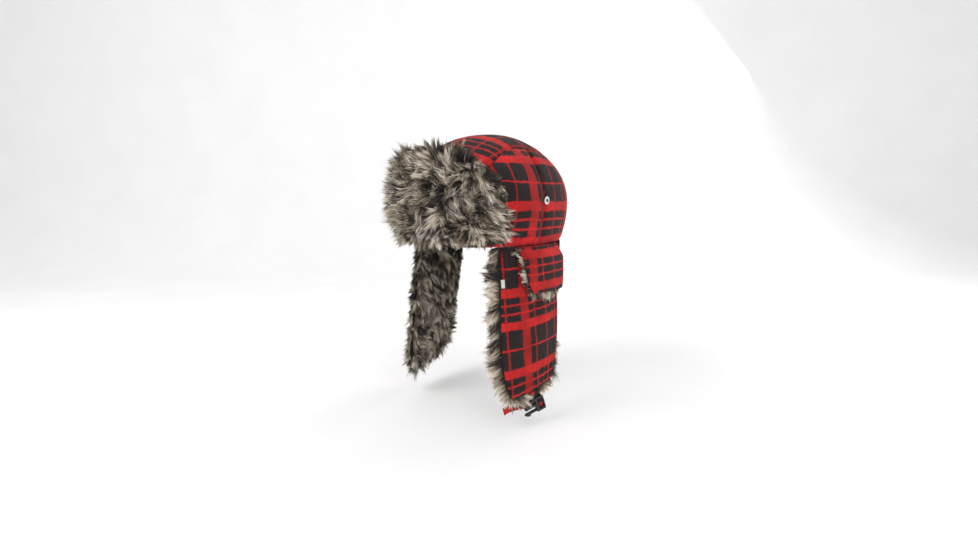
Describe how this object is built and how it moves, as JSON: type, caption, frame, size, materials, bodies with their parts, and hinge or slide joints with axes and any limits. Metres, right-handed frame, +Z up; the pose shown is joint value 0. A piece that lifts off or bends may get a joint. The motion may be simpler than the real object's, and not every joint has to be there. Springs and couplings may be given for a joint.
{
  "type": "trapper hat",
  "caption": "Red and black checked trapper hat with a turned up faux fur visor, fur lined ear flaps, small vent flaps over the ears and a buckled chin strap.",
  "frame": {"origin": "centre of the head opening, on the plane of the brim seam", "axes": "+Z up to the crown, -Y the front of the hat where the visor is, +X the wearer's left"},
  "size_m": [0.2264, 0.2612, 0.3484],
  "materials": {
    "plaid_cloth": "woven wool, red and black checks",
    "faux_fur": "long mixed pile, dark roots and pale tips",
    "wadding": "matte",
    "lining_cloth": "quilted satin",
    "sweatband_cloth": "soft twill",
    "interlining": "stiff felt",
    "mesh_cloth": "open mesh",
    "hook_and_loop": "matte",
    "tag_cloth": "smooth tape",
    "nickel": "satin nickel",
    "snap_metal": "satin",
    "buckle_plastic": "moulded black"
  },
  "bodies": {
    "crown": {"crown_center_panel": "plaid_cloth", "left_front_side_panel": "plaid_cloth", "left_rear_side_panel": "plaid_cloth", "right_front_side_panel": "plaid_cloth", "right_rear_side_panel": "plaid_cloth", "crown_wadding": "wadding", "crown_lining": "lining_cloth", "sweatband": "sweatband_cloth", "nape_band": "plaid_cloth", "nape_band_fur": "faux_fur", "eyelets": "nickel", "eyelet_washers": "nickel", "snap_stud": "snap_metal"},
    "visor": {"visor_backing": "plaid_cloth", "visor_interlining": "interlining", "visor_fur": "faux_fur", "snap_socket": "snap_metal"},
    "left_flap": {"left_flap_shell": "plaid_cloth", "left_flap_wadding": "wadding", "left_flap_fur": "faux_fur", "left_port_mesh": "mesh_cloth", "left_hook_patch": "hook_and_loop", "side_label": "tag_cloth"},
    "right_flap": {"right_flap_shell": "plaid_cloth", "right_flap_wadding": "wadding", "right_flap_fur": "faux_fur", "right_port_mesh": "mesh_cloth", "right_hook_patch": "hook_and_loop"},
    "left_vent": {"left_vent_shell": "plaid_cloth", "left_vent_fur": "faux_fur", "left_loop_patch": "hook_and_loop"},
    "right_vent": {"right_vent_shell": "plaid_cloth", "right_vent_fur": "faux_fur", "right_loop_patch": "hook_and_loop"},
    "left_strap": {"left_strap_tab": "plaid_cloth"},
    "plug": {"left_strap_tail": "plaid_cloth", "buckle_plug": "buckle_plastic"},
    "upper_prong": {"plug_prong_upper": "buckle_plastic"},
    "lower_prong": {"plug_prong_lower": "buckle_plastic"},
    "right_strap": {"right_strap": "plaid_cloth"},
    "socket": {"buckle_socket": "buckle_plastic"}
  },
  "joints": [
    {"name": "visor_fold", "type": "hinge", "parent": "crown", "child": "visor", "pos_m": [0, -0.112, 0.002], "axis": [1, 0, 0], "range_deg": [0, 70]},
    {"name": "left_flap_fold", "type": "hinge", "parent": "crown", "child": "left_flap", "pos_m": [0.1, 0, -0.002], "axis": [0, -1, 0], "range_deg": [0, 160]},
    {"name": "right_flap_fold", "type": "hinge", "parent": "crown", "child": "right_flap", "pos_m": [-0.1, 0, -0.002], "axis": [0, 1, 0], "range_deg": [0, 160]},
    {"name": "left_vent_lift", "type": "hinge", "parent": "left_flap", "child": "left_vent", "pos_m": [0.0951, 0, -0.0012], "axis": [0, 1, 0], "range_deg": [-110, 0]},
    {"name": "right_vent_lift", "type": "hinge", "parent": "right_flap", "child": "right_vent", "pos_m": [-0.0951, 0, -0.0012], "axis": [0, -1, 0], "range_deg": [-110, 0]},
    {"name": "left_strap_swing", "type": "hinge", "parent": "left_flap", "child": "left_strap", "pos_m": [0.10112, -0.03574, -0.17982], "axis": [0, -1, 0], "range_deg": [0, 75]},
    {"name": "plug_twist", "type": "hinge", "parent": "left_strap", "child": "plug", "pos_m": [0.10052, -0.03574, -0.18442], "axis": [0, 0, 1], "range_deg": [-35, 35]},
    {"name": "upper_prong_flex", "type": "hinge", "parent": "plug", "child": "upper_prong", "pos_m": [0.10288, -0.03653, -0.19016], "axis": [0.9063, -0.4226, 0], "range_deg": [0, 6], "stiffness_Nm_per_rad": 0.05},
    {"name": "lower_prong_flex", "type": "hinge", "parent": "plug", "child": "lower_prong", "pos_m": [0.10481, -0.03238, -0.20424], "axis": [0.9063, -0.4226, 0], "range_deg": [-6, 0], "stiffness_Nm_per_rad": 0.05},
    {"name": "right_strap_swing", "type": "hinge", "parent": "right_flap", "child": "right_strap", "pos_m": [-0.10322, -0.03574, -0.17912], "axis": [0, -1, 0], "range_deg": [0, 170]},
    {"name": "socket_tilt", "type": "hinge", "parent": "right_strap", "child": "socket", "pos_m": [-0.10962, -0.03574, -0.14552], "axis": [0, -1, 0], "range_deg": [0, 45]}
  ],
  "couplings": [
    {"joint": "lower_prong_flex", "follows": "upper_prong_flex", "ratio": -1}
  ]
}
